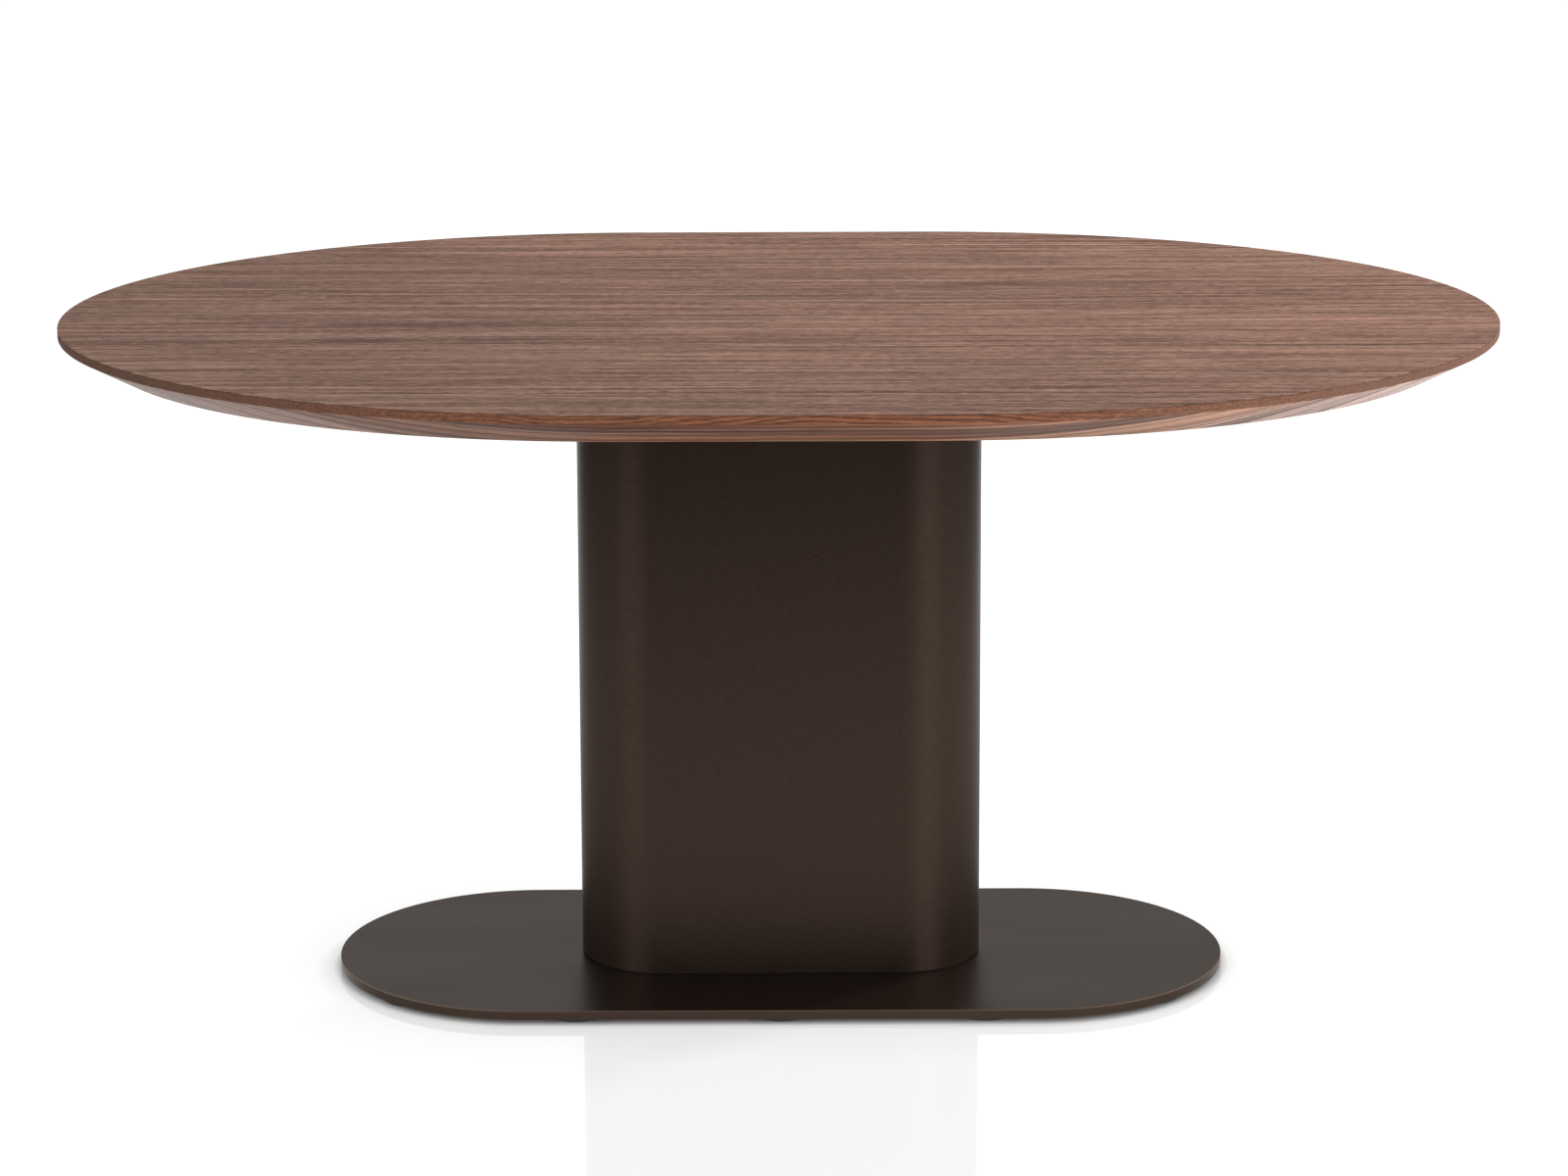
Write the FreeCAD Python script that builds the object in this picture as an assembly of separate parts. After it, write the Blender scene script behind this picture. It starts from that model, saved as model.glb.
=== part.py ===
import FreeCAD, Part
import math
import os

# Dining table: an oval veneered top on a stadium-section steel column and a flat steel base plate.
# Millimetres, +Z up, +X along the table, origin on the floor under the middle of the table.

# Table top
table_height = 754.0
top_length = 1600.0
top_depth = 1050.0
top_straight = 334.0  # straight run in the middle of each long edge
top_thickness = 40.0
edge_height = 10.0  # upright band between the top face and the bevel
bevel_inset = 56.0  # how far the bevel runs in under the edge
arris = 0.5  # chamfer on the upper edge of the band
veneer_thickness = 0.6
lipping_flat = 24.0  # flat strip of solid wood behind the bevel
lipping_front_length = 476.0  # front and back lipping pieces, from joint to joint
spline_reach = 12.0  # how far a spline enters the core and the lipping
spline_thickness = 6.0
spline_clearance = 0.1

# Column
column_length = 454.0
column_depth = 184.0
shell_wall = 2.0
shell_clearance = 0.2  # between the shell and the plates inside it
shell_gap = 1.5  # shadow gap between the shell and the base plate
post_side = 60.0
post_wall = 3.0
post_corner = 6.0
post_clearance = 0.2  # between a post and the plates it passes through
foot_flange_thickness = 8.0
diaphragm_thickness = 4.0
locator_thickness = 6.0

# Head plate and what fastens it to the top
head_plate_margin = 83.0  # beyond the column all round
head_plate_thickness = 6.0
head_plate_chamfer = 1.0
screw_diameter = 8.0
screw_length = 20.0
screw_head_flats = 13.0
screw_head_height = 5.3
screw_hole_clearance = 0.5
thread_clearance = 0.1
washer_diameter = 16.0
washer_thickness = 1.6
insert_diameter = 12.0
insert_length = 15.0
insert_clearance = 0.05
insert_hole_spare = 4.0  # depth left above an insert

# Base plate and what fastens it to the column
plate_length = 1008.0
plate_depth = 440.0
plate_thickness = 10.0
plate_chamfer = 0.8
bolt_diameter = 10.0
bolt_head_diameter = 20.0
bolt_hole_clearance = 0.5
bolt_seat_clearance = 0.05
bolt_wall_distance = 28.0  # from the inner face of the shell to a bolt's centre

# Levelling glides
pad_diameter = 76.0
pad_height = 4.5
pad_chamfer = 0.6
pad_edge_gap = 4.0  # from a pad's rim to the rim of the base plate
pad_setback = 57.0  # from the end of the plate's straight edge to the nearest pad on it
pad_turn = 45.0  # degrees round the plate's end from its straight edge to the pad there
stud_diameter = 8.0
stud_length = 7.5
stud_clearance = 0.05
stud_flange_diameter = 18.0
stud_flange_thickness = 2.0
stud_flange_cover = 1.2  # nylon left above a stud's flange
stud_hole_spare = 0.5  # depth left above a stud that is screwed home

# Levels
plate_bottom = pad_height
plate_top = plate_bottom + plate_thickness
top_underside = table_height - top_thickness
edge_bottom = table_height - edge_height
core_bottom = top_underside + veneer_thickness
core_top = table_height - veneer_thickness
head_plate_bottom = top_underside - head_plate_thickness
flange_top = plate_top + foot_flange_thickness
shell_bottom = plate_top + shell_gap
spline_middle = (core_bottom + core_top) / 2
post_height = head_plate_bottom - flange_top

# Plan places
top_half_straight = top_straight / 2
column_half_straight = (column_length - column_depth) / 2
plate_half_straight = (plate_length - plate_depth) / 2
lipping_width = bevel_inset + lipping_flat
shell_inner_radius = column_depth / 2 - shell_wall
screw_row = column_depth / 2 + head_plate_margin / 2
bolt_row = shell_inner_radius - bolt_wall_distance
pad_row = plate_depth / 2 - pad_edge_gap - pad_diameter / 2

# Working values
level_tolerance = 0.001  # faces this close to a height lie at it
least_corner = 0.2  # smallest rounding inside a post


def point(x, y, z):
    return FreeCAD.Vector(x, y, z)


def upright(wire, height):
    return Part.Face(wire).extrude(point(0, 0, height))


def cylinder(x, y, z, diameter, height):
    return Part.makeCylinder(diameter / 2, height, point(x, y, z))


def stadium_wire(half_straight, radius, z):
    """Two straight runs along X joined by half circles."""
    front_left = point(-half_straight, -radius, z)
    front_right = point(half_straight, -radius, z)
    back_right = point(half_straight, radius, z)
    back_left = point(-half_straight, radius, z)
    right_tip = point(half_straight + radius, 0, z)
    left_tip = point(-half_straight - radius, 0, z)
    edges = [
        Part.LineSegment(front_left, front_right),
        Part.Arc(front_right, right_tip, back_right),
        Part.LineSegment(back_right, back_left),
        Part.Arc(back_left, left_tip, front_left),
    ]
    return Part.Wire([edge.toShape() for edge in edges])


def stadium(half_straight, radius, z, height):
    return upright(stadium_wire(half_straight, radius, z), height)


def half_ellipse(side, reach, half_depth, z):
    """Half an ellipse from front to back round one end of the top, side 1 right and -1 left."""
    curve = Part.Arc(point(0, -1, 0), point(side, 0, 0), point(0, 1, 0)).toBSpline()
    for index, pole in enumerate(curve.getPoles(), 1):
        curve.setPole(index, point(side * top_half_straight + reach * pole.x, half_depth * pole.y, z))
    return curve.toShape()


def oval_wire(inset, z):
    """The plan of the top, drawn in by an inset: straight long edges with elliptical ends."""
    reach = top_length / 2 - top_half_straight - inset
    half_depth = top_depth / 2 - inset
    front = Part.makeLine(point(-top_half_straight, -half_depth, z), point(top_half_straight, -half_depth, z))
    back = Part.makeLine(point(top_half_straight, half_depth, z), point(-top_half_straight, half_depth, z))
    right = half_ellipse(1, reach, half_depth, z)
    left = half_ellipse(-1, reach, half_depth, z)
    return Part.Wire([front, right, back, left])


def oval(inset, z, height):
    return upright(oval_wire(inset, z), height)


def oval_ring(outer_inset, inner_inset, z, height):
    return oval(outer_inset, z, height).cut(oval(inner_inset, z, height))


def slab(z_low, z_high):
    """A level layer, wider than the top."""
    return Part.makeBox(2 * top_length, 2 * top_depth, z_high - z_low, point(-top_length, -top_depth, z_low))


def rounded_square(x, side, corner, z, height):
    half = side / 2
    box = Part.makeBox(side, side, height, point(x - half, -half, z))
    upright_edges = [edge for edge in box.Edges if abs(edge.tangentAt(edge.FirstParameter).z) > 0.5]
    return box.makeFillet(corner, upright_edges)


def hexagon(x, y, z, across_flats, height):
    radius = across_flats / math.sqrt(3)
    turns = [math.radians(60 * side) for side in range(7)]
    corners = [point(x + radius * math.cos(turn), y + radius * math.sin(turn), z) for turn in turns]
    return upright(Part.makePolygon(corners), height)


def chamfered(solid, size, z):
    """Break the outer edge of the level face at one height."""
    level = [face for face in solid.Faces if abs(face.BoundBox.Center.z - z) < level_tolerance]
    rim = max(level, key=lambda face: face.Area)
    return solid.makeChamfer(size, rim.OuterWire.Edges)


def cut_all(solid, tools):
    return solid.cut(Part.makeCompound(tools))


def screw_places():
    """Eight screws round the rim of the head plate: three on each long side and one at each end."""
    sides = [(x, y) for x in (-column_half_straight, 0, column_half_straight) for y in (-screw_row, screw_row)]
    ends = [(side * (column_half_straight + screw_row), 0) for side in (-1, 1)]
    return sides + ends


def bolt_places():
    return [(x, y) for x in (-column_half_straight, 0, column_half_straight) for y in (-bolt_row, bolt_row)]


def post_places():
    return {"left": -column_half_straight, "right": column_half_straight}


def pad_places():
    """Three glides along each straight edge of the base plate and two round each end."""
    run = plate_half_straight - pad_setback
    turn = math.radians(pad_turn)
    end_x = plate_half_straight + pad_row * math.sin(turn)
    end_y = pad_row * math.cos(turn)
    places = {}
    for depth_name, side in (("front", -1), ("back", 1)):
        for length_name, x in (("left", -run), ("middle", 0), ("right", run)):
            places[depth_name + "_" + length_name] = (x, side * pad_row)
        places["left_" + depth_name] = (-end_x, side * end_y)
        places["right_" + depth_name] = (end_x, side * end_y)
    return places


# Table top

def top_blank():
    """The whole outer form of the top, before it is divided into its pieces."""
    sections = [
        oval_wire(bevel_inset, top_underside),
        oval_wire(0, edge_bottom),
        oval_wire(0, table_height - arris),
        oval_wire(arris, table_height),
    ]
    return Part.makeLoft(sections, True, True)


def lipping_regions():
    """Boxes that divide the lipping into a front, a back and four curved quarters."""
    reach = top_length
    height = 2 * table_height
    half_length = lipping_front_length / 2
    regions = {}
    for depth_name, y in (("front", -reach), ("back", 0)):
        regions[depth_name] = Part.makeBox(lipping_front_length, reach, height, point(-half_length, y, 0))
        for length_name, x in (("left", -half_length - reach), ("right", half_length)):
            regions[length_name + "_" + depth_name] = Part.makeBox(reach, reach, height, point(x, y, 0))
    return regions


def insert_holes():
    depth = core_bottom + insert_length + insert_hole_spare - top_underside
    diameter = insert_diameter + 2 * insert_clearance
    return [cylinder(x, y, top_underside, diameter, depth) for x, y in screw_places()]


def make_top():
    blank = top_blank()
    middle = blank.common(slab(core_bottom, core_top))
    inside = oval(lipping_width, core_bottom, core_top - core_bottom)
    groove = oval_ring(lipping_width - spline_reach, lipping_width + spline_reach,
                       spline_middle - spline_thickness / 2, spline_thickness)
    spline = oval_ring(lipping_width - spline_reach + spline_clearance,
                       lipping_width + spline_reach - spline_clearance,
                       spline_middle - spline_thickness / 2, spline_thickness)
    lipping = middle.cut(inside).cut(groove)
    regions = lipping_regions()
    pieces = {
        "top_veneer": blank.common(slab(core_top, table_height)),
        "top_core": cut_all(middle.common(inside).cut(groove), insert_holes()),
        "backing_veneer": cut_all(blank.common(slab(top_underside, core_bottom)), insert_holes()),
        "lipping_splines": Part.makeCompound([spline.common(region) for region in regions.values()]),
    }
    for name, region in regions.items():
        pieces["lipping_" + name] = lipping.common(region)
    return pieces


# Joint between the top and the column

def make_head():
    screw_radius = screw_diameter / 2
    hole_diameter = screw_diameter + 2 * screw_hole_clearance
    plate = stadium(column_half_straight, column_depth / 2 + head_plate_margin,
                    head_plate_bottom, head_plate_thickness)
    plate = chamfered(plate, head_plate_chamfer, head_plate_bottom)
    seat = head_plate_bottom - washer_thickness
    holes = []
    screws = []
    washers = []
    inserts = []
    for x, y in screw_places():
        holes.append(cylinder(x, y, head_plate_bottom, hole_diameter, head_plate_thickness))
        head = hexagon(x, y, seat - screw_head_height, screw_head_flats, screw_head_height)
        screws.append(head.fuse(cylinder(x, y, seat, screw_diameter, screw_length)))
        washer = cylinder(x, y, seat, washer_diameter, washer_thickness)
        washers.append(washer.cut(cylinder(x, y, seat, hole_diameter, washer_thickness)))
        thread = Part.makeCylinder(screw_radius + thread_clearance, insert_length, point(x, y, core_bottom))
        inserts.append(cylinder(x, y, core_bottom, insert_diameter, insert_length).cut(thread))
    return {
        "head_plate": cut_all(plate, holes),
        "head_screws": Part.makeCompound(screws),
        "head_washers": Part.makeCompound(washers),
        "threaded_inserts": Part.makeCompound(inserts),
    }


# Column

def inner_plate(z, thickness):
    return stadium(column_half_straight, shell_inner_radius - shell_clearance, z, thickness)


def post_openings(z, thickness):
    side = post_side + 2 * post_clearance
    corner = post_corner + post_clearance
    return [rounded_square(x, side, corner, z, thickness) for x in post_places().values()]


def make_post(x):
    outside = rounded_square(x, post_side, post_corner, flange_top, post_height)
    bore_corner = max(post_corner - post_wall, least_corner)
    return outside.cut(rounded_square(x, post_side - 2 * post_wall, bore_corner, flange_top, post_height))


def make_column():
    shell_height = head_plate_bottom - shell_bottom
    outside = stadium(column_half_straight, column_depth / 2, shell_bottom, shell_height)
    inside = stadium(column_half_straight, shell_inner_radius, shell_bottom, shell_height)
    diaphragm_z = (plate_top + head_plate_bottom - diaphragm_thickness) / 2
    locator_z = head_plate_bottom - locator_thickness
    bolt_bore = bolt_diameter + 2 * thread_clearance
    bolt_holes = [cylinder(x, y, plate_top, bolt_bore, foot_flange_thickness) for x, y in bolt_places()]
    pieces = {
        "column_shell": outside.cut(inside),
        "foot_flange": cut_all(inner_plate(plate_top, foot_flange_thickness), bolt_holes),
        "mid_diaphragm": cut_all(inner_plate(diaphragm_z, diaphragm_thickness),
                                 post_openings(diaphragm_z, diaphragm_thickness)),
        "head_locator": cut_all(inner_plate(locator_z, locator_thickness),
                                post_openings(locator_z, locator_thickness)),
    }
    for name, x in post_places().items():
        pieces["inner_post_" + name] = make_post(x)
    return pieces


# Base plate

def countersink(x, y, radius, z, shank_radius):
    """A 45 degree cone that narrows upwards from a level face to the shank."""
    return Part.makeCone(radius, shank_radius, radius - shank_radius, point(x, y, z))


def make_base():
    plate = stadium(plate_half_straight, plate_depth / 2, plate_bottom, plate_thickness)
    plate = chamfered(plate, plate_chamfer, plate_top)
    head_radius = bolt_head_diameter / 2
    hole_radius = bolt_diameter / 2 + bolt_hole_clearance
    tools = []
    bolts = []
    for x, y in bolt_places():
        tools.append(cylinder(x, y, plate_bottom, 2 * hole_radius, plate_thickness))
        tools.append(countersink(x, y, head_radius + bolt_seat_clearance, plate_bottom, hole_radius))
        head = countersink(x, y, head_radius, plate_bottom, bolt_diameter / 2)
        bolts.append(head.fuse(cylinder(x, y, plate_bottom, bolt_diameter, flange_top - plate_bottom)))
    for x, y in pad_places().values():
        bore = stud_diameter + 2 * stud_clearance
        tools.append(cylinder(x, y, plate_bottom, bore, stud_length + stud_hole_spare))
    return {
        "base_plate": cut_all(plate, tools),
        "base_bolts": Part.makeCompound(bolts),
    }


# Levelling glides

def make_glide(name, x, y):
    flange_z = pad_height - stud_flange_cover - stud_flange_thickness
    flange = cylinder(x, y, flange_z, stud_flange_diameter, stud_flange_thickness)
    shank = cylinder(x, y, flange_z, stud_diameter, pad_height + stud_length - flange_z)
    stud = flange.fuse(shank).removeSplitter()
    pad = chamfered(cylinder(x, y, 0, pad_diameter, pad_height), pad_chamfer, 0)
    return {
        "foot_pad_" + name: pad.cut(stud),
        "foot_stud_" + name: stud,
    }


def make_table():
    pieces = {}
    pieces.update(make_top())
    pieces.update(make_head())
    pieces.update(make_column())
    pieces.update(make_base())
    for name, (x, y) in pad_places().items():
        pieces.update(make_glide(name, x, y))
    return pieces


os.makedirs("parts", exist_ok=True)
for node, shape in make_table().items():
    shape.exportStep("parts/" + node + ".step")
    print(node, len(shape.Solids), "solids", round(shape.Volume / 1000.0, 2), "cm3", shape.isValid())
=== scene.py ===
import math

import bmesh
import bpy
from mathutils import Matrix, Vector


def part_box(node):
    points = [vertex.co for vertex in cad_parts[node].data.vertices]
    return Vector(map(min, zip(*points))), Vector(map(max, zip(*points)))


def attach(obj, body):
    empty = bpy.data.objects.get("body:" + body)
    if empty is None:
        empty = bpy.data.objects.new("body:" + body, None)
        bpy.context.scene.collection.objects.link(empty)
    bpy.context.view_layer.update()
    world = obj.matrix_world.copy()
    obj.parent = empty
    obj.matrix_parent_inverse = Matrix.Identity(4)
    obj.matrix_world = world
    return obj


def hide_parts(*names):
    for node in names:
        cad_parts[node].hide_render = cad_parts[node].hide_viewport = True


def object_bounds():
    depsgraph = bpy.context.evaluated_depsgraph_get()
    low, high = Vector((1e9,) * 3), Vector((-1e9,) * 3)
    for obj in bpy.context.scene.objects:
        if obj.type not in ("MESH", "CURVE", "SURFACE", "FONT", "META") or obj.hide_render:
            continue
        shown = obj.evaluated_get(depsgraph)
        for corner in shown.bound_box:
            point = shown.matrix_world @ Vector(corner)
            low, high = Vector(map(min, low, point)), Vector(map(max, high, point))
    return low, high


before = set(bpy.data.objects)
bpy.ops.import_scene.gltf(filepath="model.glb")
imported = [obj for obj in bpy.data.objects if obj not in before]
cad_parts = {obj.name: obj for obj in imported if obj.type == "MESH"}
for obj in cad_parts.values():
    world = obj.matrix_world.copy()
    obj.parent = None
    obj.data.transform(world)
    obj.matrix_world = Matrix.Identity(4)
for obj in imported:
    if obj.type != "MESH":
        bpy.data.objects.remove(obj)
cad_low, cad_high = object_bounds()

# Metres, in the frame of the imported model: +Z up, +X along the table, the floor at zero.

# Places taken from the frame
plate_low, plate_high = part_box("base_plate")
plate_radius = (plate_high.y - plate_low.y) / 2
plate_half_straight = (plate_high.x - plate_low.x) / 2 - plate_radius
veneer_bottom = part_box("top_veneer")[0].z
lipping_low, lipping_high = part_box("lipping_front")
lipping_bottom = lipping_low.z
joint_x = lipping_high.x
half_length = cad_high.x
half_depth = cad_high.y
table_height = cad_high.z

# The top's form, as the CAD model has it
half_straight = 0.167
edge_height = 0.010
bevel_inset = 0.056
bevel_height = 0.030
lipping_width = 0.080
groove_reach = 0.012
groove_height = 0.006

# Finer curves and softer edges of the top's pieces
arris_radius = 0.0005
soft_corner = 0.0008
end_steps = 96
corner_steps = 4
smooth_angle = math.radians(35)

# The photograph's viewing angle, in its 1600 by 1200 frame, with lens and sensor in millimetres
camera_place = Vector((0.0, -5.4, 1.813))
camera_pitch = math.radians(12.81)
camera_roll = math.radians(-0.2)
camera_lens = 113.3
camera_sensor = 36.0
camera_shift = (0.0031, -0.08)

# Floor and backdrop. The floor's contact shadow is painted, as brightness at distances outside the base
# plate, and its glow is painted dimmer near the table.
studio_radius = 40.0
studio_sides = 96
floor_tone = 0.15
floor_roughness = 0.05
floor_gloss_index = 2.2
# Painted shade: the floor glows dimmer near the table
shaded_near_glow = 0.76
far_glow = 1.0
glow_start = 0.4
glow_full = 2.0
contact_shadow = (
    (-0.02, 0.03),
    (-0.008, 0.08),
    (0.0, 0.3),
    (0.009, 0.78),
    (0.02, 0.9),
    (0.06, 0.95),
    (0.13, 1.0),
)

# Light that the floor throws back: brightness at distances from the base plate, and strength at each side
bounce_drop = 0.001
bounce_span = (-0.6, 1.5)
soft_bounce = ((0.0, 0.4), (0.16, 0.8), (0.5, 1.0), (1.2, 1.0), (2.0, 0.5), (2.8, 0.2))
soft_left = 1.0
soft_right = 4.4
mirror_bounce = ((0.0, 0.4), (0.25, 0.7), (0.7, 0.85), (1.0, 0.6), (1.4, 0.12), (1.8, 0.0))
mirror_left = 1.8
mirror_right = 2.2
mirror_side_share = 0.8

# Light from round the studio
ceiling_strength = 1.1
ceiling_start = 0.12
ceiling_full = 0.52
left_wall = 0.6
right_wall = 0.8
wall_start = 0.5
wall_full = 0.8
panel_azimuth = math.radians(38)
panel_elevation = math.radians(12)
panel_edge = math.radians(22)
panel_full = math.radians(10)
left_panel = 2.4
right_panel = 3.6

# Lamps, with their power in watts
lamp_aim = Vector((0.0, 0.0, 0.4))
key_place = Vector((3.0, 2.4, 2.2))
key_size = (0.6, 0.6)
key_power = 235.0
side_place = Vector((3.4, -0.6, 0.9))
side_size = (1.6, 1.4)
side_power = 34.0

# The wood's figure. Facings are parts of a surface's normal, along X or Z.
grain_drift = 0.03
board_spacing = 1.7
ring_arch = 15.0
rings_per_metre = 210.0
turned_span = (0.2, 0.45)
band_facing = (-0.6, -0.2)
end_grain_facing = (0.1, 0.75)
# Width of the dark line along the band's upper edge
upper_edge_line = 0.0012
wave_depth = 0.016
slant_depth = 0.016
slant_span = (0.05, 0.45)
# Painted sheen: the bevel is made paler towards the right end, where the light falls stronger
right_sheen_share = 0.35
right_sheen_span = (0.15, 0.5)
ply_pairs_per_metre = 1000.0

# The bronze's tones and gloss, with facings along Z. The plate's rim and arris carry painted light.
bronze_metal = 0.8
column_dark = (0.035, 0.023, 0.0175, 1.0)
column_light = (0.051, 0.033, 0.025, 1.0)
column_edge = (0.55, 0.55, 0.55, 1.0)
column_gloss = (0.34, 0.38)
column_brushing = 0.6
column_brush_turn = 0.25
column_specular = 0.2
plate_dark = (0.030, 0.021, 0.016, 1.0)
plate_light = (0.044, 0.031, 0.024, 1.0)
# Painted light: the plate's upright rim is made lighter and browner than its top, standing in for the lit
# floor it reflects
plate_rim_painted_light = (0.056, 0.035, 0.025, 1.0)
# Painted highlight: a pale line along the plate's chamfered arris
plate_arris_highlight = (0.15, 0.105, 0.075, 1.0)
plate_edge = (0.97, 0.94, 0.91, 1.0)
plate_gloss = (0.31, 0.36)
# Facings of the painted light on the rim
painted_rim_facing = (0.4, 0.1)
# Where the painted highlight on the arris lies, by facing
arris_highlight_facing = 0.7
arris_highlight_spread = 0.25


def tint(red, green, blue):
    """A colour given as it shows on a screen, from 0 to 255, as the linear values that shaders take."""
    levels = [value / 255 for value in (red, green, blue)]
    linear = [level / 12.92 if level <= 0.04045 else ((level + 0.055) / 1.055) ** 2.4 for level in levels]
    return (*linear, 1.0)


def grey(level):
    return (level, level, level, 1.0)


class Nodes:
    """A node tree with short calls for the nodes that the finishes are made of."""

    def __init__(self, tree):
        self.tree = tree

    def put(self, socket, value):
        if isinstance(value, bpy.types.NodeSocket):
            self.tree.links.new(value, socket)
        else:
            socket.default_value = value

    def add(self, kind, inputs=None, **settings):
        node = self.tree.nodes.new("ShaderNode" + kind)
        for name, value in settings.items():
            setattr(node, name, value)
        for key, value in (inputs or {}).items():
            self.put(node.inputs[key], value)
        return node

    def place(self):
        """Where a point lies at rest, in metres."""
        return self.add("TexCoord").outputs["Object"]

    def normal(self):
        """Which way a surface faces, along X, Y and Z."""
        return self.axes(self.add("NewGeometry").outputs["Normal"])

    def axes(self, vector):
        return self.add("SeparateXYZ", {0: vector}).outputs

    def join(self, x, y, z):
        return self.add("CombineXYZ", {0: x, 1: y, 2: z}).outputs[0]

    def shift(self, vector, offset):
        return self.add("VectorMath", {0: vector, 1: offset}, operation="ADD").outputs[0]

    def dot(self, vector, direction):
        return self.add("VectorMath", {0: vector, 1: direction}, operation="DOT_PRODUCT").outputs["Value"]

    def math(self, operation, first, second=0.0, third=0.0):
        return self.add("Math", {0: first, 1: second, 2: third}, operation=operation).outputs[0]

    def absolute(self, value):
        return self.math("ABSOLUTE", value)

    def noise(self, vector, stretch=None, scale=1.0, detail=2.0, roughness=0.5):
        """Noise at a scale, after any stretch along X, Y and Z."""
        if stretch:
            vector = self.add("VectorMath", {0: vector, 1: stretch}, operation="MULTIPLY").outputs[0]
        inputs = {"Vector": vector, "Scale": scale, "Detail": detail, "Roughness": roughness}
        return self.add("TexNoise", inputs).outputs[0]

    def remap(self, value, low, high, to_low=0.0, to_high=1.0, smooth=True):
        kind = "SMOOTHSTEP" if smooth else "LINEAR"
        inputs = {0: value, 1: low, 2: high, 3: to_low, 4: to_high}
        return self.add("MapRange", inputs, interpolation_type=kind).outputs[0]

    def line(self, value, width, strength, middle=0.5):
        """A thin line where a value passes a middle one."""
        distance = self.absolute(self.math("SUBTRACT", value, middle))
        return self.remap(distance, width, 0.0, 0.0, strength)

    def ramp(self, value, stops):
        """Colours at places from 0 to 1, with straight blends between them."""
        node = self.add("ValToRGB", {0: value})
        elements = node.color_ramp.elements
        while len(elements) < len(stops):
            elements.new(1.0)
        for element, (position, colour) in zip(elements, stops):
            element.position = position
            element.color = colour
        return node.outputs[0]

    def mix(self, share, first, second):
        return self.add("Mix", {0: share, 6: first, 7: second}, data_type="RGBA").outputs[2]

    def toned(self, colour, value, span, share, tone):
        """A colour that goes over to a tone, up to a share of it, as a value goes along a span."""
        return self.mix(self.remap(value, *span, 0.0, share), colour, tone)

    def bump(self, height, strength, distance):
        return self.add("Bump", {"Height": height, "Strength": strength, "Distance": distance}).outputs[0]


class Finish(Nodes):
    """A procedural material."""

    def __init__(self, name):
        self.material = bpy.data.materials.new(name)
        self.material.use_nodes = True
        super().__init__(self.material.node_tree)
        self.shader = self.tree.nodes["Principled BSDF"]

    def set(self, **values):
        """Sockets of the shader by their names, with _ for a space."""
        for name, value in values.items():
            self.put(self.shader.inputs[name.replace("_", " ")], value)


# Finishes of wood

def veneer(name):
    """Straight-grained walnut veneer: tone bands, growth lines, flecks and short pores along X."""
    finish = Finish(name)
    place = finish.place()
    wander = finish.noise(place, (1.6, 5.0, 1.0))
    drift = finish.math("MULTIPLY_ADD", wander, grain_drift, -grain_drift / 2)
    grain = finish.shift(place, finish.join(0.0, drift, 0.0))
    other_grain = finish.shift(grain, (3.0, 1.7, 0.0))

    tones = finish.noise(grain, (0.8, 12.0, 1.0), roughness=0.55)
    hues = finish.noise(grain, (1.4, 26.0, 1.0))
    stripes = finish.noise(grain, (0.8, 80.0, 1.0), roughness=0.6)
    dark_growth = finish.noise(grain, (0.9, 56.0, 1.0), detail=1.0)
    pale_growth = finish.noise(other_grain, (1.3, 60.0, 1.0), detail=1.0)
    strands = finish.noise(grain, (1.5, 190.0, 1.0), roughness=0.7)
    dashes = finish.noise(grain, (9.0, 240.0, 1.0), detail=1.0)
    flecks = finish.noise(grain, (80.0, 320.0, 1.0), roughness=0.6)
    mottle = finish.noise(grain, (48.0, 150.0, 1.0), detail=3.0, roughness=0.7)
    pores = finish.noise(grain, (70.0, 2400.0, 1.0), detail=1.0)

    colour = finish.ramp(tones, [
        (0.36, tint(92, 66, 54)),
        (0.5, tint(106, 77, 64)),
        (0.64, tint(99, 72, 59)),
    ])
    colour = finish.toned(colour, hues, (0.5, 0.68), 0.4, tint(124, 84, 73))
    colour = finish.toned(colour, hues, (0.48, 0.32), 0.4, tint(98, 77, 58))
    colour = finish.toned(colour, stripes, (0.47, 0.33), 0.8, tint(78, 51, 38))
    colour = finish.toned(colour, stripes, (0.54, 0.67), 0.65, tint(140, 108, 91))
    colour = finish.mix(finish.line(dark_growth, 0.035, 0.95), colour, tint(62, 38, 28))
    colour = finish.mix(finish.line(pale_growth, 0.045, 0.5), colour, tint(156, 121, 103))
    colour = finish.toned(colour, strands, (0.48, 0.36), 0.8, tint(74, 47, 36))
    colour = finish.toned(colour, strands, (0.54, 0.65), 0.6, tint(146, 113, 97))
    colour = finish.toned(colour, dashes, (0.46, 0.3), 0.65, tint(74, 47, 36))
    colour = finish.toned(colour, dashes, (0.55, 0.7), 0.4, tint(144, 111, 95))
    colour = finish.toned(colour, flecks, (0.48, 0.34), 0.6, tint(70, 44, 34))
    colour = finish.toned(colour, flecks, (0.55, 0.7), 0.45, tint(150, 116, 99))
    colour = finish.toned(colour, mottle, (0.48, 0.3), 0.2, tint(76, 50, 39))
    colour = finish.toned(colour, mottle, (0.54, 0.72), 0.15, tint(148, 114, 98))
    colour = finish.toned(colour, pores, (0.42, 0.3), 0.3, tint(52, 32, 24))

    height = finish.math("MULTIPLY_ADD", pores, 0.5, finish.math("MULTIPLY", flecks, 0.5))
    finish.set(Base_Color=colour, Roughness=finish.remap(flecks, 0.3, 0.7, 0.6, 0.52))
    finish.set(Specular_IOR_Level=0.14, Normal=finish.bump(height, 0.12, 0.0004))
    return finish.material


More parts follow.
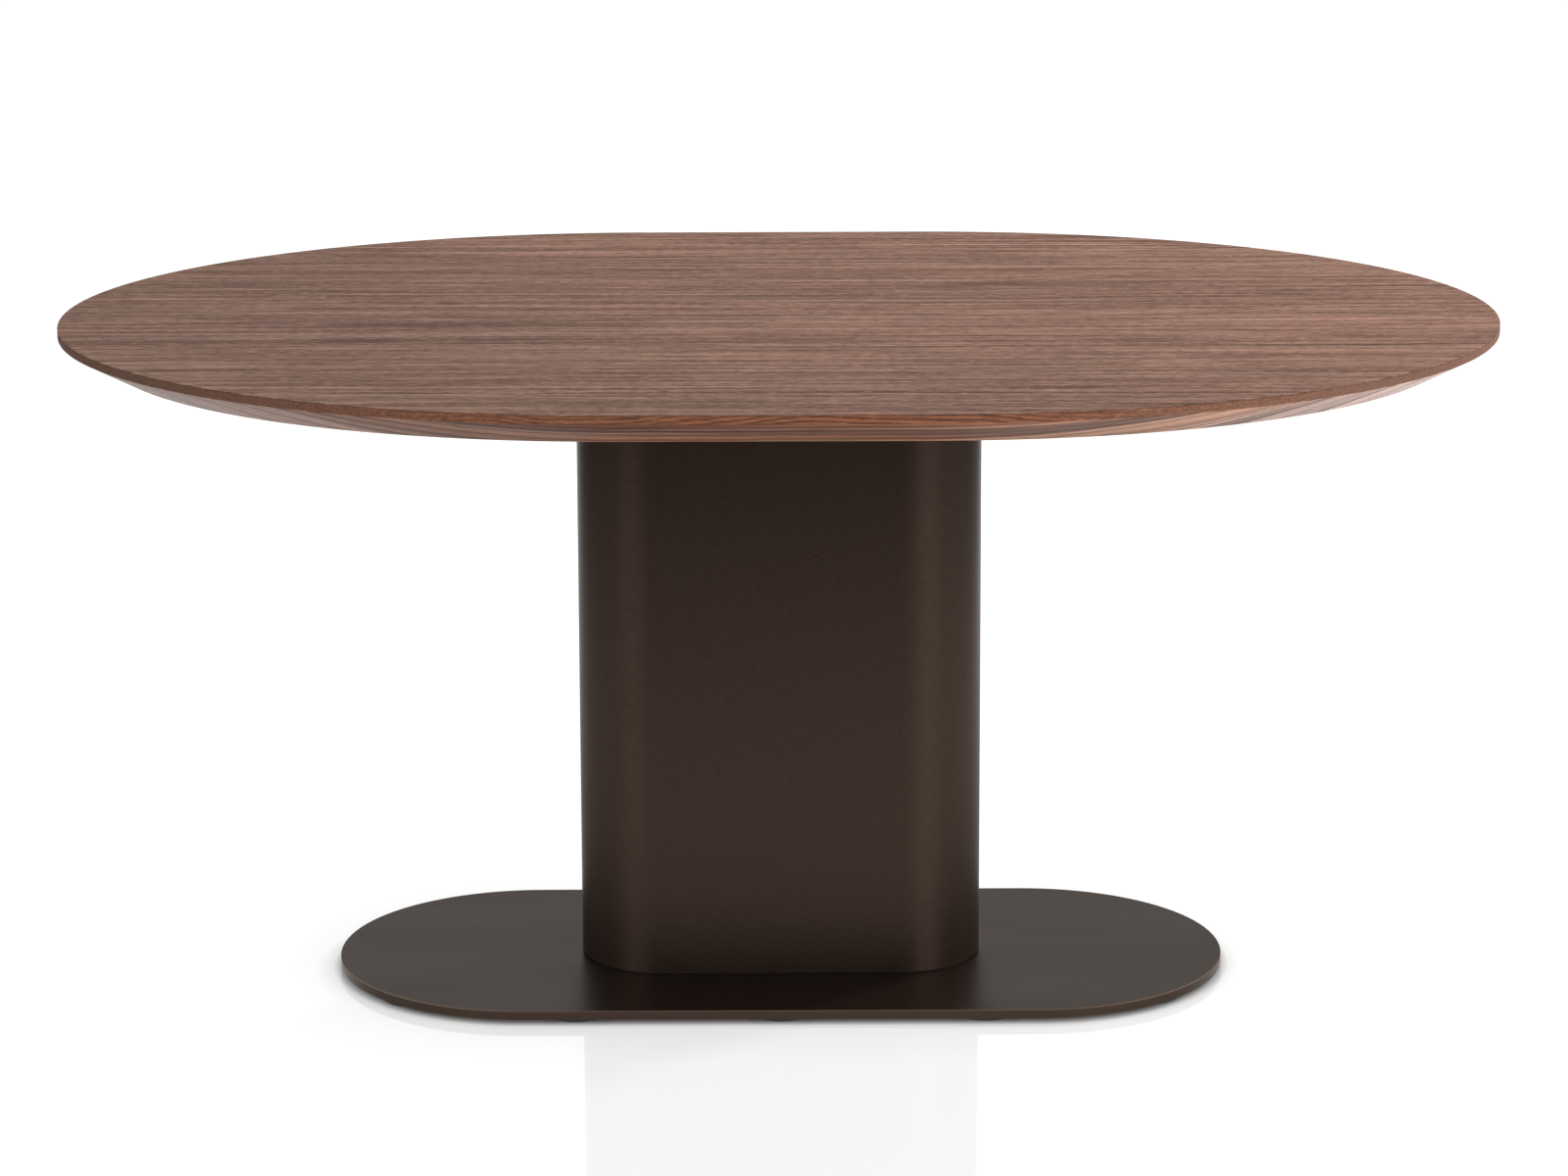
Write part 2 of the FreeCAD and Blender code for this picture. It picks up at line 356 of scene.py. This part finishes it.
def lipping_band(finish, place, board, facing_x):
    """The upright band: rings that arch across it, plainer where it turns and greyer on the cut fibres,
    with a dark line along its upper edge, where the veneer sits on it."""
    x, _, z = finish.axes(place)
    arch = finish.noise(board, (3.4, 2.5, 4.0), roughness=0.4)
    rings = finish.math("MULTIPLY_ADD", arch, ring_arch, finish.math("MULTIPLY", z, rings_per_metre))
    clouds = finish.noise(board, (3.0, 14.0, 60.0), detail=3.0)
    dashes = finish.noise(board, (50.0, 420.0, 420.0), roughness=0.6)
    band = finish.ramp(finish.math("FRACT", rings), [
        (0.0, tint(62, 37, 27)),
        (0.2, tint(133, 82, 56)),
        (0.6, tint(117, 72, 50)),
        (0.85, tint(84, 52, 38)),
    ])
    band = finish.toned(band, finish.absolute(x), turned_span, 0.65, tint(114, 75, 55))
    band = finish.toned(band, clouds, (0.4, 0.7), 0.6, tint(108, 71, 54))
    band = finish.toned(band, dashes, (0.48, 0.34), 0.55, tint(72, 45, 34))
    band = finish.toned(band, dashes, (0.55, 0.7), 0.3, tint(160, 112, 82))
    band = finish.toned(band, finish.absolute(facing_x), end_grain_facing, 0.85, tint(96, 71, 59))
    # A dark line along the band's upper edge, at the veneer's lower face
    return finish.mix(finish.line(z, upper_edge_line, 0.7, veneer_bottom), band, tint(62, 37, 28))


def lipping_bevel(finish, place, board):
    """The bevel: layers that lie along X, waver a little and slant across it to the right, with a painted
    sheen that makes it paler towards the right end, where the light falls stronger."""
    x, y, _ = finish.axes(place)
    wave = finish.noise(place, (2.2, 3.0, 3.0), detail=3.0, roughness=0.6)
    level = finish.math("SUBTRACT", finish.absolute(y), wave_depth / 2)
    depth = finish.math("MULTIPLY_ADD", wave, wave_depth, level)
    slant = finish.remap(x, *slant_span, 0.0, slant_depth)
    layer = finish.math("DIVIDE", finish.math("ADD", depth, slant), half_depth)
    along = finish.join(finish.axes(board)[0], depth, 0.0)
    stripes = finish.noise(along, (0.5, 48.0, 1.0), roughness=0.6)
    threads = finish.noise(along, (0.8, 70.0, 1.0), roughness=0.6)
    hairs = finish.noise(along, (1.2, 160.0, 1.0), roughness=0.6)
    bevel = finish.ramp(layer, [
        (0.0, tint(154, 134, 128)),
        (0.55, tint(147, 123, 115)),
        (0.77, tint(142, 114, 104)),
        (0.81, tint(152, 120, 106)),
        (0.846, tint(142, 104, 84)),
        (0.855, tint(84, 57, 46)),
        (0.864, tint(116, 79, 60)),
        (0.93, tint(116, 76, 56)),
        (0.94, tint(90, 62, 51)),
        (0.975, tint(92, 64, 55)),
        (0.99, tint(124, 78, 55)),
    ])
    painted_sheen = finish.ramp(layer, [(0.8, tint(164, 142, 134)), (0.86, tint(186, 140, 108))])
    # Painted sheen: paler towards the right end, standing in for the stronger light there
    bevel = finish.toned(bevel, x, right_sheen_span, right_sheen_share, painted_sheen)
    bevel = finish.toned(bevel, stripes, (0.46, 0.34), 0.5, tint(78, 54, 45))
    bevel = finish.toned(bevel, stripes, (0.56, 0.68), 0.45, tint(164, 122, 96))
    bevel = finish.mix(finish.line(threads, 0.06, 0.75), bevel, tint(66, 43, 34))
    bevel = finish.toned(bevel, hairs, (0.49, 0.37), 0.85, tint(68, 44, 35))
    return finish.toned(bevel, hairs, (0.53, 0.64), 0.5, tint(160, 124, 104))


def lipping(name, offset):
    """Solid walnut with its fibres along X. The offset picks the board that it is cut from."""
    finish = Finish(name)
    place = finish.place()
    board = finish.shift(place, offset)
    facing_x, _, facing_z = finish.normal()
    band = lipping_band(finish, place, board, facing_x)
    bevel = lipping_bevel(finish, place, board)
    fibres = finish.noise(board, (26.0, 500.0, 500.0), detail=3.0, roughness=0.6)
    colour = finish.mix(finish.remap(facing_z, *band_facing), bevel, band)
    colour = finish.toned(colour, fibres, (0.48, 0.32), 0.5, tint(52, 32, 25))
    finish.set(Base_Color=colour, Roughness=finish.remap(fibres, 0.3, 0.7, 0.56, 0.46))
    finish.set(Specular_IOR_Level=0.15, Normal=finish.bump(fibres, 0.1, 0.0003))
    return finish.material


def backing(name):
    """The plainer veneer on the underside."""
    finish = Finish(name)
    place = finish.place()
    bands = finish.noise(place, (0.5, 16.0, 0.0), detail=4.0, roughness=0.6)
    lines = finish.noise(place, (2.0, 240.0, 0.0), detail=3.0, roughness=0.6)
    colour = finish.ramp(bands, [(0.35, tint(112, 78, 58)), (0.65, tint(146, 104, 78))])
    colour = finish.toned(colour, lines, (0.48, 0.3), 0.6, tint(80, 54, 42))
    finish.set(Base_Color=colour, Roughness=finish.remap(lines, 0.3, 0.7, 0.6, 0.48))
    finish.set(Normal=finish.bump(lines, 0.1, 0.0003))
    return finish.material


def fibreboard(name):
    """Pale and dark chips, pressed."""
    finish = Finish(name)
    chips = finish.noise(finish.place(), scale=900.0, detail=4.0, roughness=0.7)
    colour = finish.ramp(chips, [(0.3, tint(126, 98, 70)), (0.7, tint(176, 146, 112))])
    finish.set(Base_Color=colour, Roughness=0.85, Normal=finish.bump(chips, 0.25, 0.0003))
    return finish.material


def plywood(name):
    """Plies of half a millimetre, light and dark in turn, stacked in height."""
    finish = Finish(name)
    place = finish.place()
    fibre = finish.noise(place, (60.0, 60.0, 900.0), detail=3.0)
    ply = finish.math("FRACT", finish.math("MULTIPLY", finish.axes(place)[2], ply_pairs_per_metre))
    colour = finish.ramp(ply, [(0.45, tint(206, 176, 134)), (0.55, tint(168, 130, 92))])
    colour = finish.toned(colour, fibre, (0.5, 0.3), 0.4, tint(128, 96, 66))
    finish.set(Base_Color=colour, Roughness=0.75, Normal=finish.bump(fibre, 0.15, 0.0002))
    return finish.material


# Finishes of metal and plastic

def brushed_bronze(name):
    """Dark bronze steel brushed round the column, so that highlights spread up and down."""
    finish = Finish(name)
    strokes = finish.noise(finish.place(), (110.0, 110.0, 800.0), detail=4.0, roughness=0.65)
    colour = finish.ramp(strokes, [(0.3, column_dark), (0.7, column_light)])
    gloss = finish.remap(strokes, 0.3, 0.7, *column_gloss)
    tangent = finish.add("Tangent", direction_type="RADIAL", axis="Z").outputs[0]
    finish.set(Base_Color=colour, Metallic=bronze_metal, Roughness=gloss)
    finish.set(Anisotropic=column_brushing, Anisotropic_Rotation=column_brush_turn, Tangent=tangent)
    finish.set(Specular_IOR_Level=column_specular, Specular_Tint=column_edge)
    finish.set(Normal=finish.bump(strokes, 0.05, 0.0001))
    return finish.material


def satin_bronze(name):
    """The same bronze with a satin brushing along the plate, with painted light: the upright rim painted
    lighter and browner, and a painted highlight along the arris.
    """
    finish = Finish(name)
    place = finish.place()
    strokes = finish.noise(place, (7.0, 1300.0, 1300.0), detail=4.0, roughness=0.65)
    clouds = finish.noise(place, (3.0, 12.0, 12.0), detail=3.0)
    upward = finish.normal()[2]
    colour = finish.ramp(strokes, [(0.3, plate_dark), (0.7, plate_light)])
    # Painted light: upright rim faces lighter and browner
    colour = finish.toned(colour, upward, painted_rim_facing, 0.8, plate_rim_painted_light)
    # Painted highlight along the chamfered arris
    colour = finish.mix(finish.line(upward, arris_highlight_spread, 1.0, arris_highlight_facing), colour, plate_arris_highlight)
    gloss = finish.remap(clouds, 0.3, 0.7, *plate_gloss)
    finish.set(Base_Color=colour, Metallic=bronze_metal, Roughness=gloss)
    finish.set(Specular_Tint=plate_edge, Normal=finish.bump(strokes, 0.06, 0.0001))
    return finish.material


def powder_coat(name):
    """Black powder coat with a fine orange-peel surface."""
    finish = Finish(name)
    peel = finish.noise(finish.place(), scale=1100.0)
    colour = finish.ramp(peel, [(0.3, tint(22, 22, 23)), (0.7, tint(32, 31, 32))])
    finish.set(Base_Color=colour, Roughness=finish.remap(peel, 0.3, 0.7, 0.46, 0.56))
    finish.set(Normal=finish.bump(peel, 0.2, 0.0002))
    return finish.material


def zinc(name):
    """Bright zinc plate with a faint mottle."""
    finish = Finish(name)
    mottle = finish.noise(finish.place(), scale=420.0, detail=4.0, roughness=0.6)
    colour = finish.ramp(mottle, [(0.3, tint(178, 184, 192)), (0.7, tint(206, 206, 200))])
    finish.set(Base_Color=colour, Metallic=1.0, Roughness=finish.remap(mottle, 0.3, 0.7, 0.26, 0.42))
    finish.set(Normal=finish.bump(mottle, 0.05, 0.0001))
    return finish.material


def brass(name):
    """Turned brass, with fine rings round upright axes."""
    finish = Finish(name)
    turning = finish.noise(finish.place(), (90.0, 90.0, 4000.0), detail=3.0)
    colour = finish.ramp(turning, [(0.3, tint(190, 150, 82)), (0.7, tint(214, 178, 104))])
    finish.set(Base_Color=colour, Metallic=1.0, Roughness=finish.remap(turning, 0.3, 0.7, 0.28, 0.4))
    return finish.material


def nylon(name):
    """Moulded black nylon with a fine spark-eroded grain."""
    finish = Finish(name)
    grain = finish.noise(finish.place(), scale=1600.0, detail=3.0, roughness=0.6)
    colour = finish.ramp(grain, [(0.3, tint(20, 20, 20)), (0.7, tint(30, 30, 31))])
    finish.set(Base_Color=colour, Roughness=finish.remap(grain, 0.3, 0.7, 0.5, 0.66))
    finish.set(Normal=finish.bump(grain, 0.3, 0.0002))
    return finish.material


# Pieces of the top, with finer curves and softer edges than the CAD meshes

def end_point(inset, side, angle, z):
    """A point on an elliptical end of the top's plan, drawn in by an inset. Side is 1 right, -1 left."""
    x = half_straight + (half_length - half_straight - inset) * math.cos(angle)
    y = (half_depth - inset) * math.sin(angle)
    return Vector((side * x, y, z))


def joint_angle(inset):
    """Where the joint beside the front or back lipping crosses an end ellipse."""
    return math.acos((joint_x - half_straight) / (half_length - half_straight - inset))


def shares(steps):
    """Even steps from 0 to 1."""
    return [step / steps for step in range(steps + 1)]


def rounded(before, corner, after, radius):
    """Points of a small arc, in inset and height, that takes off a corner."""
    before, corner, after = Vector(before), Vector(corner), Vector(after)
    to_before = (before - corner).normalized()
    to_after = (after - corner).normalized()
    half = to_before.angle(to_after) / 2
    start = corner + to_before * (radius / math.tan(half))
    end = corner + to_after * (radius / math.tan(half))
    centre = corner + (to_before + to_after).normalized() * (radius / math.sin(half))
    points = []
    for share in shares(corner_steps):
        spoke = (start - centre).lerp(end - centre, share).normalized()
        points.append(tuple(centre + spoke * radius))
    return points


def add_piece(name, rows):
    """A closed mesh through rows of points, each row one section, with flat ends."""
    mesh = bpy.data.meshes.new(name)
    shape = bmesh.new()
    grid = [[shape.verts.new(point) for point in row] for row in rows]
    for row, following in zip(grid, grid[1:]):
        for place in range(len(row)):
            after = (place + 1) % len(row)
            shape.faces.new((row[place], following[place], following[after], row[after]))
    shape.faces.new(grid[0])
    shape.faces.new(list(reversed(grid[-1])))
    bmesh.ops.recalc_face_normals(shape, faces=shape.faces)
    shape.to_mesh(mesh)
    shape.free()
    mesh.shade_smooth()
    mesh.set_sharp_from_angle(angle=smooth_angle)
    piece = bpy.data.objects.new(name, mesh)
    bpy.context.scene.collection.objects.link(piece)
    return piece


def lipping_profile():
    """The section of the solid edge, in inset and height: band, bevel, flat, and the spline's groove."""
    edge = table_height - edge_height
    bevel_end = bevel_inset * (edge - lipping_bottom) / bevel_height
    middle = (veneer_bottom + lipping_bottom) / 2
    groove_low = middle - groove_height / 2
    groove_high = middle + groove_height / 2
    groove_end = lipping_width - groove_reach
    return [
        (0.0, veneer_bottom),
        *rounded((0.0, veneer_bottom), (0.0, edge), (bevel_end, lipping_bottom), soft_corner),
        (bevel_end, lipping_bottom),
        (lipping_width, lipping_bottom),
        (lipping_width, groove_low),
        (groove_end, groove_low),
        (groove_end, groove_high),
        (lipping_width, groove_high),
        (lipping_width, veneer_bottom),
    ]


def long_lipping_rows(depth_side):
    """Sections of the front or back piece, from joint to joint."""
    rows = []
    for side, order in ((-1, 1), (1, -1)):
        for share in shares(end_steps // 4)[::order]:
            row = []
            for inset, z in lipping_profile():
                joint = joint_angle(inset)
                angle = joint + (math.pi / 2 - joint) * share
                row.append(end_point(inset, side, depth_side * angle, z))
            rows.append(row)
    return rows


def quarter_lipping_rows(side, depth_side):
    """Sections of a curved quarter, from the joint to the tip of the top."""
    rows = []
    for share in shares(end_steps):
        rows.append([end_point(inset, side, depth_side * joint_angle(inset) * (1 - share), z)
                     for inset, z in lipping_profile()])
    return rows


def rim_stations():
    """Stations round the whole rim: the right end from front to back, then the left end."""
    turns = [math.pi * (share - 0.5) for share in shares(2 * end_steps)]
    return [(1, turn) for turn in turns] + [(-1, turn) for turn in reversed(turns)]


def veneer_rows():
    """Rings of the top veneer, from its lower face round the softened arris to the upper face."""
    arris = rounded((0.0, veneer_bottom), (0.0, table_height), (lipping_width, table_height), arris_radius)
    profile = [(0.0, veneer_bottom), *arris]
    return [[end_point(inset, side, angle, z) for side, angle in rim_stations()] for inset, z in profile]


def stand_for(piece, node, material):
    """Let a piece stand for a CAD node of the table, with a finish."""
    piece.data.materials.append(material)
    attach(piece, "table")
    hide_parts(node)


def make_top():
    """The veneer, and the lipping: a long piece and two quarters at the front, and the same at the back."""
    sheet = add_piece("top_veneer_sheet", veneer_rows())
    stand_for(sheet, "top_veneer", veneer("walnut_veneer"))
    for depth_name, depth_side in (("front", -1), ("back", 1)):
        board = lipping("walnut_" + depth_name, (board_spacing * depth_side, 0.0, 0.0))
        lengths = {"lipping_" + depth_name: long_lipping_rows(depth_side)}
        for length_name, side in (("left", -1), ("right", 1)):
            lengths["lipping_" + length_name + "_" + depth_name] = quarter_lipping_rows(side, depth_side)
        for node, rows in lengths.items():
            stand_for(add_piece(node + "_board", rows), node, board)


# Finishes of the CAD nodes

def dress(material, slot, *names):
    """Give CAD nodes a finish. The slot is not used."""
    for name in names:
        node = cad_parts[name]
        node.data.materials.clear()
        node.data.materials.append(material)


def names_with(start):
    """The CAD nodes whose names start alike."""
    return sorted(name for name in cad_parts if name.startswith(start))


def dress_table():
    """Finishes for the CAD nodes that keep their own meshes."""
    dress(backing("walnut_backing"), "walnut_backing", "backing_veneer")
    dress(fibreboard("core_board"), "core_board", "top_core")
    dress(plywood("spline_plywood"), "spline_plywood", "lipping_splines")
    dress(brushed_bronze("brushed_bronze"), "brushed_bronze_steel", "column_shell")
    dress(satin_bronze("satin_bronze"), "satin_bronze_steel", "base_plate")
    inner_steel = ["head_plate", "foot_flange", "mid_diaphragm", "head_locator"]
    dress(powder_coat("black_powder_coat"), "black_steel", *inner_steel, *names_with("inner_post_"))
    zinc_names = ["head_screws", "head_washers", "base_bolts"]
    dress(zinc("zinc_plate"), "zinc_steel", *zinc_names, *names_with("foot_stud_"))
    dress(brass("insert_brass"), "insert_brass", "threaded_inserts")
    dress(nylon("black_nylon"), "black_nylon", *names_with("foot_pad_"))


# Floor, light and camera

def add_stage(name, shape):
    """A mesh that belongs to the studio."""
    mesh = bpy.data.meshes.new(name)
    shape.to_mesh(mesh)
    shape.free()
    stage = bpy.data.objects.new(name, mesh)
    bpy.context.scene.collection.objects.link(stage)
    return stage


def add_disc(name, height):
    """A level disc as wide as the studio."""
    shape = bmesh.new()
    bmesh.ops.create_circle(shape, cap_ends=True, segments=studio_sides, radius=studio_radius,
                            matrix=Matrix.Translation((0.0, 0.0, height)))
    return add_stage(name, shape)


def let_glow(stage, finish):
    """Give a piece of the studio its glowing finish, which counts only where a ray meets it."""
    finish.material.cycles.emission_sampling = "NONE"
    stage.data.materials.append(finish.material)


def outside_plate(finish, side_share=1.0, front_alone=False):
    """How far a point of the floor lies outside the outline of the base plate, or in front of it alone,
    with a share of what lies past its straight sides."""
    x, y, _ = finish.axes(finish.place())
    beyond = finish.math("MAXIMUM", finish.math("SUBTRACT", finish.absolute(x), plate_half_straight), 0.0)
    beyond = finish.math("MULTIPLY", beyond, side_share)
    if front_alone:
        y = finish.math("MINIMUM", y, 0.0)
    squares = finish.math("MULTIPLY_ADD", y, y, finish.math("MULTIPLY", beyond, beyond))
    return finish.math("SUBTRACT", finish.math("SQRT", squares), plate_radius)


def greys_at(finish, distance, stops):
    """Greys that follow a distance, from stops of distance and brightness."""
    start, end = stops[0][0], stops[-1][0]
    share = finish.remap(distance, start, end, smooth=False)
    return finish.ramp(share, [((stop - start) / (end - start), grey(level)) for stop, level in stops])


def make_floor():
    """A white, faintly glossy floor that glows, with a painted contact shadow under and close round the
    base plate, and a dimmer glow near the table as painted shade.
    """
    floor = add_disc("studio_floor", 0.0)
    floor.visible_diffuse = False
    floor.visible_glossy = False
    finish = Finish("studio_white_painted_shadow")
    distance = outside_plate(finish)
    finish.set(Base_Color=grey(floor_tone), Roughness=floor_roughness, IOR=floor_gloss_index)
    # Painted contact shadow: the glow darkens under and close round the base plate
    finish.set(Emission_Color=greys_at(finish, distance, contact_shadow))
    # Painted shade: the glow is dimmer near the table
    finish.set(Emission_Strength=finish.remap(distance, glow_start, glow_full, shaded_near_glow, far_glow))
    let_glow(floor, finish)


def make_backdrop():
    """A white dome round the studio, which shows behind the table and lights nothing."""
    shape = bmesh.new()
    bmesh.ops.create_uvsphere(shape, u_segments=studio_sides, v_segments=studio_sides // 2,
                              radius=studio_radius)
    backdrop = add_stage("studio_backdrop", shape)
    backdrop.visible_diffuse = False
    backdrop.visible_glossy = False
    backdrop.visible_shadow = False
    finish = Finish("studio_backdrop")
    finish.set(Base_Color=grey(0.0), Specular_IOR_Level=0.0)
    finish.set(Emission_Color=grey(1.0), Emission_Strength=far_glow)
    let_glow(backdrop, finish)


def make_bounce(name, stops, left, right, glossy):
    """Light that the floor throws back, by the distance from the base plate and from left to right.
    It meets either the glossy or the soft reflections of the table."""
    bounce = add_disc(name, -bounce_drop)
    bounce.visible_camera = False
    bounce.visible_shadow = False
    bounce.visible_diffuse = not glossy
    bounce.visible_glossy = glossy
    finish = Finish(name)
    distance = outside_plate(finish, mirror_side_share, True) if glossy else outside_plate(finish)
    side = finish.remap(finish.axes(finish.place())[0], *bounce_span, left, right)
    finish.set(Base_Color=grey(0.0), Specular_IOR_Level=0.0)
    finish.set(Emission_Color=greys_at(finish, distance, stops), Emission_Strength=side)
    let_glow(bounce, finish)


def make_world():
    """A plain studio: bright ceiling, pale walls at the sides, two soft panels in front, dark between."""
    world = bpy.data.worlds.new("studio")
    world.use_nodes = True
    bpy.context.scene.world = world
    nodes = Nodes(world.node_tree)
    direction = nodes.add("TexCoord").outputs["Generated"]
    x, _, z = nodes.axes(direction)
    right = nodes.remap(x, wall_start, wall_full, 0.0, right_wall)
    left = nodes.remap(x, -wall_start, -wall_full, 0.0, left_wall)
    walls = nodes.math("MAXIMUM", left, right)
    strength = nodes.remap(z, ceiling_start, ceiling_full, walls, ceiling_strength)
    reach = math.cos(panel_elevation)
    for side, power in ((-1, left_panel), (1, right_panel)):
        towards = (
            side * reach * math.sin(panel_azimuth),
            -reach * math.cos(panel_azimuth),
            math.sin(panel_elevation),
        )
        nearness = nodes.dot(direction, towards)
        panel = nodes.remap(nearness, math.cos(panel_edge), math.cos(panel_full), 0.0, power)
        strength = nodes.math("ADD", strength, panel)
    background = world.node_tree.nodes["Background"]
    background.inputs["Color"].default_value = grey(1.0)
    nodes.put(background.inputs["Strength"], strength)


def add_softbox(name, place, size, power):
    """A soft lamp that is turned to the table and shows in no reflection."""
    light = bpy.data.lights.new(name, "AREA")
    light.shape = "RECTANGLE"
    light.size, light.size_y = size
    light.energy = power
    lamp = bpy.data.objects.new(name, light)
    bpy.context.scene.collection.objects.link(lamp)
    turn = (lamp_aim - place).to_track_quat("-Z", "Y").to_matrix().to_4x4()
    lamp.matrix_world = Matrix.Translation(place) @ turn
    lamp.visible_camera = False
    lamp.visible_glossy = False


def make_camera():
    """The photograph's camera, straight in front of the table and pitched down to it."""
    data = bpy.data.cameras.new("photo_view")
    data.lens = camera_lens
    data.sensor_width = camera_sensor
    data.sensor_fit = "HORIZONTAL"
    data.shift_x, data.shift_y = camera_shift
    camera = bpy.data.objects.new("photo_view", data)
    bpy.context.scene.collection.objects.link(camera)
    level = Matrix.Rotation(math.radians(90) - camera_pitch, 4, "X")
    camera.matrix_world = Matrix.Translation(camera_place) @ level @ Matrix.Rotation(camera_roll, 4, "Z")
    bpy.context.scene.camera = camera


make_top()
dress_table()
make_floor()
make_backdrop()
make_bounce("soft_bounce", soft_bounce, soft_left, soft_right, False)
make_bounce("mirror_bounce", mirror_bounce, mirror_left, mirror_right, True)
make_world()
add_softbox("key_back_right", key_place, key_size, key_power)
add_softbox("side_right", side_place, side_size, side_power)
make_camera()
bpy.context.scene.view_settings.view_transform = "Standard"
